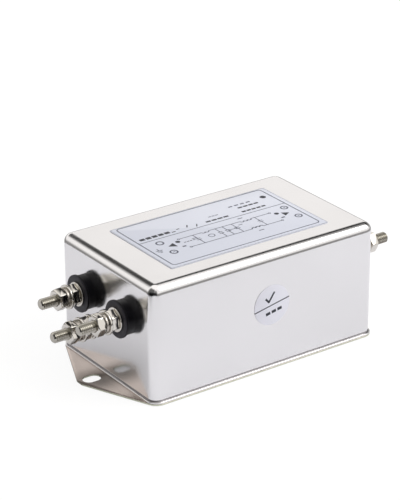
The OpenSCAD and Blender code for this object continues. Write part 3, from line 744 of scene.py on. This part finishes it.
def film_sheet(name, low, high, corner):
    """Thin sheet with rounded corners, lying on the can's top."""
    let_go()
    bpy.ops.mesh.primitive_plane_add(size=1, location=((low.x + high.x) / 2, (low.y + high.y) / 2, high.z))
    sheet = named(name)
    sheet.scale = (high.x - low.x, high.y - low.y, 1)
    settle(sheet)
    bpy.ops.object.mode_set(mode="EDIT")
    bpy.ops.mesh.select_all(action="SELECT")
    bpy.ops.mesh.bevel(offset=corner * MM, segments=6, affect="VERTICES", profile=0.5)
    bpy.ops.object.mode_set(mode="OBJECT")
    use(sheet, "SOLIDIFY", thickness=high.z - low.z, offset=-1.0)
    use(sheet, "BEVEL", width=0.04 * MM, segments=2, limit_method="ANGLE",
        angle_limit=math.radians(50))
    smooth(sheet, 32)
    return sheet


label_low, label_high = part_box("rating_label")
label = film_sheet("label_film_sheet", label_low, label_high, 0.8)
dressed(label, film, "label_film", "rating_label")


def bar(x, y, length, width, turn=0.0):
    """A printed stroke, from its middle."""
    let_go()
    bpy.ops.mesh.primitive_plane_add(size=1, location=(x * MM, y * MM, 0),
                                     rotation=(0, 0, math.radians(turn)))
    stroke = named("stroke")
    stroke.scale = (length * MM, width * MM, 1)
    settle(stroke)
    return stroke


def ring(x, y, radius, width):
    """A printed circle."""
    let_go()
    bpy.ops.mesh.primitive_circle_add(vertices=40, radius=radius * MM, fill_type="NGON",
                                      location=(x * MM, y * MM, 0))
    made = named("ring")
    settle(made)
    bpy.ops.object.mode_set(mode="EDIT")
    pick(made, "FACE", lambda face: True)
    bpy.ops.mesh.inset(thickness=width * MM, depth=0)
    bpy.ops.mesh.delete(type="FACE")
    bpy.ops.object.mode_set(mode="OBJECT")
    return made


def spot(x, y, radius, corners=24, turn=0.0):
    """A filled dot, or with three corners an arrow head."""
    let_go()
    bpy.ops.mesh.primitive_circle_add(vertices=corners, radius=radius * MM, fill_type="NGON",
                                      location=(x * MM, y * MM, 0),
                                      rotation=(0, 0, math.radians(turn)))
    made = named("spot")
    settle(made)
    return made


def arc(x, y, radius, width, start, sweep):
    """Part of a ring: a short stroke spun about the middle."""
    a = math.radians(start)
    made = traced("arc", [(r * math.cos(a), r * math.sin(a), 0)
                          for r in (radius - width / 2, radius + width / 2)])
    bpy.ops.mesh.select_all(action="SELECT")
    bpy.ops.mesh.spin(steps=max(6, int(abs(sweep) / 12)), angle=math.radians(sweep),
                      center=(0, 0, 0), axis=(0, 0, 1))
    bpy.ops.object.mode_set(mode="OBJECT")
    made.location = (x * MM, y * MM, 0)
    settle(made)
    return made


def frame_line(x0, y0, x1, y1, corner, width):
    """A printed frame with rounded corners, from its low left to its high right."""
    let_go()
    bpy.ops.mesh.primitive_plane_add(size=1, location=((x0 + x1) / 2 * MM, (y0 + y1) / 2 * MM, 0))
    made = named("frame_line")
    made.scale = ((x1 - x0) * MM, (y1 - y0) * MM, 1)
    settle(made)
    bpy.ops.object.mode_set(mode="EDIT")
    bpy.ops.mesh.select_all(action="SELECT")
    bpy.ops.mesh.bevel(offset=corner * MM, segments=8, affect="VERTICES", profile=0.5)
    pick(made, "FACE", lambda face: True)
    bpy.ops.mesh.inset(thickness=width * MM, depth=0)
    bpy.ops.mesh.delete(type="FACE")
    bpy.ops.object.mode_set(mode="OBJECT")
    return made


def dashes(x, y, count, length, height, gap):
    """A row of even dashes from its left end, where a line of words would stand."""
    return [bar(x + length / 2 + k * (length + gap), y, length, height) for k in range(count)]


def on_top(pieces, name, finish):
    """Joins strokes and lays them on the label, their faces upwards."""
    made = joined(pieces, name)
    take(made)
    bpy.ops.object.mode_set(mode="EDIT")
    shape = bmesh.from_edit_mesh(made.data)
    for face in shape.faces:
        if face.normal.z < 0:
            face.normal_flip()
    bmesh.update_edit_mesh(made.data)
    bpy.ops.object.mode_set(mode="OBJECT")
    made.location = (0, 0, label_high.z + LIFT * MM)
    settle(made)
    dressed(made, finish, "label_film")


def rule(x0, y0, x1, y1, width):
    """A printed line from one point to another."""
    return bar((x0 + x1) / 2, (y0 + y1) / 2, math.hypot(x1 - x0, y1 - y0), width,
               math.degrees(math.atan2(y1 - y0, x1 - x0)))


def rail(y, breaks):
    """A long line of the circuit, broken where its coils stand."""
    stops = [RAIL_START, *[x for gap in breaks for x in gap], RAIL_STOP]
    return [rule(start, y, stop, y, THIN) for start, stop in zip(stops[::2], stops[1::2])]


def coil(gap, y, count, width, up):
    """Bumps of a coil sign that fill a gap in a rail."""
    start, stop = gap
    radius = (stop - start) / (2 * count)
    return [arc(start + (2 * k + 1) * radius, y, radius, width, 0 if up else 180, 180)
            for k in range(count)]


def capacitor(x):
    """An upright between the rails, broken by the two short plates of a capacitor sign."""
    upper, lower = PLATES_Y + 0.5, PLATES_Y - 0.5
    return [rule(x, TOP_RAIL, x, upper, THIN), rule(x, lower, x, LOW_RAIL, THIN),
            bar(x, upper, 1.9, 0.4), bar(x, lower, 1.9, 0.4)]


def earth_sign(x, y):
    """An upright on three bars, each shorter than the last."""
    width = 0.36
    return [rule(x, y + 1.6, x, y, width), bar(x, y, 2.8, width), bar(x, y - 0.8, 1.8, width),
            bar(x, y - 1.6, 0.9, width)]


# the circuit drawing's lines, in mm from the can's middle
THIN = 0.34
TOP_RAIL, PLATES_Y, LOW_RAIL = -0.8, -4.6, -8.5
RAIL_START, RAIL_STOP = -17.4, 21.4
LINE_COIL, LOAD_COIL = (-8.0, -5.0), (8.6, 13.4)
UPRIGHTS = (-11.75, -2.25, 0.8, 4.8, 15.0)

# frame and the line across it, and a hairline round the film's edge
strokes = [frame_line(-31.35, -17.6, 31.9, 18.75, 1.6, 0.42), rule(-31.1, 3.6, 31.7, 3.4, THIN),
           frame_line(-33.1, -19.2, 33.7, 19.2, 0.7, 0.15)]
# circuit drawing: two rails with coils in them, and capacitors from one to the other
strokes += rail(TOP_RAIL, (LINE_COIL, LOAD_COIL)) + rail(LOW_RAIL, (LOAD_COIL,))
strokes += coil(LINE_COIL, TOP_RAIL, 2, 0.4, True)
strokes += coil(LOAD_COIL, TOP_RAIL, 3, 0.45, True) + coil(LOAD_COIL, LOW_RAIL, 3, 0.5, False)
for x in UPRIGHTS:
    strokes += capacitor(x)
strokes += [rule(UPRIGHTS[2], PLATES_Y, UPRIGHTS[3], PLATES_Y, THIN), ring(-6.3, -4.7, 1.3, THIN)]
strokes += [ring(x, y, 0.55, 0.3) for x in (RAIL_START - 0.3, RAIL_STOP + 0.3)
            for y in (TOP_RAIL, LOW_RAIL)]
# terminal circles, three of them slotted, and the earth sign
strokes += [ring(-24.85, 0.15, 1.6, 0.6), ring(-24.85, -8.5, 1.6, 0.6),
            ring(29.0, 0.15, 1.5, 0.55), ring(28.9, -8.5, 1.5, 0.55)]
strokes += [bar(-24.85, -8.5, 1.0, 0.4), bar(29.0, 0.15, 1.0, 0.4), bar(28.9, -8.5, 1.0, 0.4)]
strokes += earth_sign(-28.6, -5.0)
# short dashes in the drawing, then rows of them above the line
for row in (
    (-17.6, -4.1, 4, 0.9, 0.5, 0.35), (-20.0, -6.7, 1, 1.5, 0.8, 0), (22.8, -6.5, 1, 1.5, 0.8, 0),
    (-13.6, -3.2, 1, 1.8, 0.4, 0), (6.4, -3.0, 1, 1.8, 0.4, 0),
    (9.3, 1.5, 1, 2.1, 0.5, 0), (9.6, -11.0, 1, 2.1, 0.5, 0),
    (1.8, 8.8, 3, 1.2, 0.45, 0.3), (12.8, 11.9, 4, 1.7, 0.75, 0.9),
):
    strokes += dashes(*row)
on_top(strokes, "label_lines", ink)

# heavy print: rows of dashes, two short strokes, two arrows and three dots
bold = dashes(-29.3, 6.0, 5, 2.1, 1.6, 0.5)
bold += [bar(-15.4, 5.4, 1.6, 0.55), bar(-12.9, 6.6, 1.3, 0.5)]
bold += [rule(-9.4, 5.9, -8.3, 7.6, 0.45), rule(-6.1, 4.6, -4.9, 6.4, 0.4)]
for row in ((-1.4, 5.75, 4, 2.1, 1.0, 0.45), (14.4, 5.75, 5, 1.75, 1.0, 0.4),
            (15.2, 9.4, 4, 1.95, 0.95, 0.4)):
    bold += dashes(*row)
bold += [spot(-22.1, -3.85, 1.9, 3, 90), spot(26.1, -4.3, 1.8, 3, -90)]
bold += [spot(-19.1, -2.4, 0.9), spot(23.5, -2.6, 0.9), spot(28.6, 12.4, 1.2)]
on_top(bold, "label_heavy_print", heavy_ink)

sticker_low, sticker_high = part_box("inspection_sticker")


def on_side(piece, lift):
    """Lays a flat piece on the near wall, over the sticker's middle."""
    piece.matrix_world = (
        Matrix.Translation(((sticker_low.x + sticker_high.x) / 2, sticker_low.y - lift * MM,
                            (sticker_low.z + sticker_high.z) / 2))
        @ Matrix.Rotation(math.pi / 2, 4, "X") @ piece.matrix_world
    )
    settle(piece)
    return piece


def round_sticker():
    """Paper disc with a softened rim."""
    let_go()
    bpy.ops.mesh.primitive_cylinder_add(vertices=96, radius=(sticker_high.x - sticker_low.x) / 2,
                                        depth=sticker_high.y - sticker_low.y,
                                        location=(0, 0, -(sticker_high.y - sticker_low.y) / 2))
    sticker = named("round_paper_sticker")
    settle(sticker)
    use(sticker, "BEVEL", width=0.04 * MM, segments=2, limit_method="ANGLE",
        angle_limit=math.radians(50))
    smooth(sticker, 32)
    return on_side(sticker, 0)


dressed(round_sticker(), paper, "white_paper", "inspection_sticker")

SLOPE = 10.7     # how far the sticker's print climbs, in degrees


def tick(x, y, size, width):
    """A short stroke down and a long one up."""
    low_x, low_y = x - 0.15 * size, y - 0.45 * size
    return [rule(x - 0.5 * size, y, low_x + 0.3 * width, low_y, width),
            rule(low_x, low_y, x + 0.5 * size, y + 0.5 * size, width)]


def sloping_dashes(x, y, count, step, length, height):
    """Dashes along the sticker's rule, from the middle of their row."""
    along = [step * (k - (count - 1) / 2) for k in range(count)]
    run, climb = math.cos(math.radians(SLOPE)), math.sin(math.radians(SLOPE))
    return [bar(x + run * t, y + climb * t, length, height, SLOPE) for t in along]


marks = joined([rule(-7.45, -1.46, 7.4, 1.35, 0.42)] + tick(-0.9, 2.9, 3.8, 0.75)
               + sloping_dashes(0.8, -2.6, 3, 2.5, 1.9, 1.1), "sticker_print")
on_side(marks, LIFT)
dressed(marks, heavy_ink, "white_paper")

# ---------------------------------------------------------------- what sits inside

slots = {part["node"]: part["material_slot"] for part in frame["record"]["subparts"]}
for node, shape in frame["nodes"].items():
    if slots.get(node) in INNER_FINISHES:
        shape.data.materials.clear()
        shape.data.materials.append(INNER_FINISHES[slots[node]])

# ---------------------------------------------------------------- studio

world = bpy.data.worlds.new("studio")
bpy.context.scene.world = world
world.use_nodes = True
sky = world.node_tree
sky.nodes.clear()


def times(tree, a, b):
    """A value times another value or a number."""
    made = add(tree, "ShaderNodeMath", {"operation": "MULTIPLY"}, {0: a})
    if isinstance(b, (int, float)):
        made.inputs[1].default_value = b
    else:
        tree.links.new(b, made.inputs[1])
    return made.outputs["Value"]


def window(tree, value, start, full, fading, stop):
    """Rises from 0 to 1 between start and full, and falls again between fading and stop."""
    return times(tree, ramp(tree, value, start, full), ramp(tree, value, fading, stop, 1.0, 0.0))


def degrees(tree, kind, a, b=None):
    """An angle from a trigonometric node, in degrees."""
    made = add(tree, "ShaderNodeMath", {"operation": kind}, {0: a} if b is None else {0: a, 1: b})
    return times(tree, made.outputs["Value"], 180 / math.pi)


look = add(sky, "ShaderNodeTexCoord")
axes = add(sky, "ShaderNodeSeparateXYZ", None, {"Vector": look.outputs["Generated"]})
east, north, height = axes.outputs["X"], axes.outputs["Y"], axes.outputs["Z"]
south = times(sky, north, -1.0)
rise = degrees(sky, "ARCSINE", height)              # above the horizon
rear = degrees(sky, "ARCTAN2", east, north)         # round from +Y, towards +X
front = degrees(sky, "ARCTAN2", east, south)        # round from -Y, towards +X

# a white studio: backdrop, overhead light, and a dark room in the gaps between them.
# Each gap has its darkness, its reach in height and its reach round the horizon.
gaps = [
    # between the top of the backdrop and the overhead light
    (0.97, window(sky, rise, 28, 34, 49, 59), window(sky, rear, -40, -5, 94, 108)),
    # past the backdrop's right edge
    (0.85, window(sky, rise, 3, 12, 42, 54), window(sky, rear, 48, 58, 94, 108)),
    # the dark side of the room, low over the table's edge
    (0.98, ramp(sky, rise, 8, 24, 1.0, 0.0), window(sky, front, -102, -86, -28, -2)),
    (0.74, ramp(sky, rise, -4, 11, 1.0, 0.0), window(sky, front, -28, -2, 78, 96)),
    (0.74, ramp(sky, rise, -6, 13, 1.0, 0.0), window(sky, rear, -112, -98, 84, 100)),
    # nothing but the open room on the left
    (0.88, ramp(sky, rise, 50, 66, 1.0, 0.0), window(sky, front, -130, -112, -46, -36)),
    # the stand beside the table
    (0.80, ramp(sky, rise, 34, 52, 1.0, 0.0), window(sky, front, -46, -35, -18, -8)),
]
level = ramp(sky, rise, 46, 64, 1.09, 1.22)
for strength, tall, wide in gaps:
    shade = times(sky, times(sky, tall, wide), strength)
    rest = add(sky, "ShaderNodeMath", {"operation": "SUBTRACT", 0: 1.0}, {1: shade}).outputs["Value"]
    level = times(sky, level, rest)
rays = add(sky, "ShaderNodeLightPath")
white = times(sky, rays.outputs["Is Camera Ray"], 1.08)
seen = add(sky, "ShaderNodeMath", {"operation": "MAXIMUM"}, {0: level, 1: white}).outputs["Value"]
light = add(sky, "ShaderNodeBackground", {"Color": (1.0, 0.978, 0.962, 1)}, {"Strength": seen})
add(sky, "ShaderNodeOutputWorld", None, {"Surface": light.outputs["Background"]})

# table top: the camera sees it nearly white with a faint shadow, and metal sees it lit
let_go()
bpy.ops.mesh.primitive_plane_add(size=1, location=(0.019, -0.003, -0.0002))
floor = named("floor")
floor.scale = (0.306, 0.248, 1)
settle(floor)
pale, tree = blank("pale_table_top")
path = add(tree, "ShaderNodeLightPath")
matt = add(tree, "ShaderNodeBsdfDiffuse", {"Color": linear("#edeef3")})
lift = add(tree, "ShaderNodeEmission", {"Color": linear("#f9f9fd"), "Strength": 0.135})
lit = add(tree, "ShaderNodeAddShader", None, {0: matt.outputs[0], 1: lift.outputs[0]})
thin = add(tree, "ShaderNodeBsdfDiffuse", {"Color": linear("#6c6c6c")})
glow = add(tree, "ShaderNodeEmission", {"Color": (1, 1, 1, 1), "Strength": 0.89})
bright = add(tree, "ShaderNodeAddShader", None, {0: thin.outputs[0], 1: glow.outputs[0]})
table = add(tree, "ShaderNodeMixShader", None,
            {0: path.outputs["Is Camera Ray"], 1: lit.outputs[0], 2: bright.outputs[0]})
add(tree, "ShaderNodeOutputMaterial", None, {"Surface": table.outputs[0]})
floor.data.materials.append(pale)


def softbox(name, place, aim, size, power):
    """A square lamp at a place in metres, turned to what it lights."""
    lamp = bpy.data.lights.new(name, "AREA")
    lamp.shape = "SQUARE"
    lamp.size = size
    lamp.energy = power
    made = bpy.data.objects.new(name, lamp)
    bpy.context.scene.collection.objects.link(made)
    made.location = place
    made.rotation_euler = (Vector(aim) - Vector(place)).to_track_quat("-Z", "Y").to_euler()


softbox("overhead_softbox", (0.45, -0.42, 0.62), (0, 0, 0.03), 0.5, 2.2)

# camera, in front of the line end and above it, with a long lens
azimuth, elevation, roll = math.radians(-35.141), math.radians(24.391), math.radians(-0.15)
back = Vector((math.sin(azimuth) * math.cos(elevation), -math.cos(azimuth) * math.cos(elevation),
               math.sin(elevation)))
right = Vector((0, 0, 1)).cross(back).normalized()
up = back.cross(right)
across_view = math.cos(roll) * right + math.sin(roll) * up
up_view = -math.sin(roll) * right + math.cos(roll) * up
lens = bpy.data.cameras.new("camera")
lens.sensor_width = 36
lens.lens = 149.79
lens.clip_start, lens.clip_end = 0.05, 10
camera = bpy.data.objects.new("camera", lens)
bpy.context.scene.collection.objects.link(camera)
place = Vector((-0.39022, -0.54300, 0.33835))
camera.matrix_world = Matrix((
    (across_view.x, up_view.x, back.x, place.x),
    (across_view.y, up_view.y, back.y, place.y),
    (across_view.z, up_view.z, back.z, place.z),
    (0, 0, 0, 1),
))
bpy.context.scene.camera = camera
bpy.context.scene.view_settings.view_transform = "Standard"
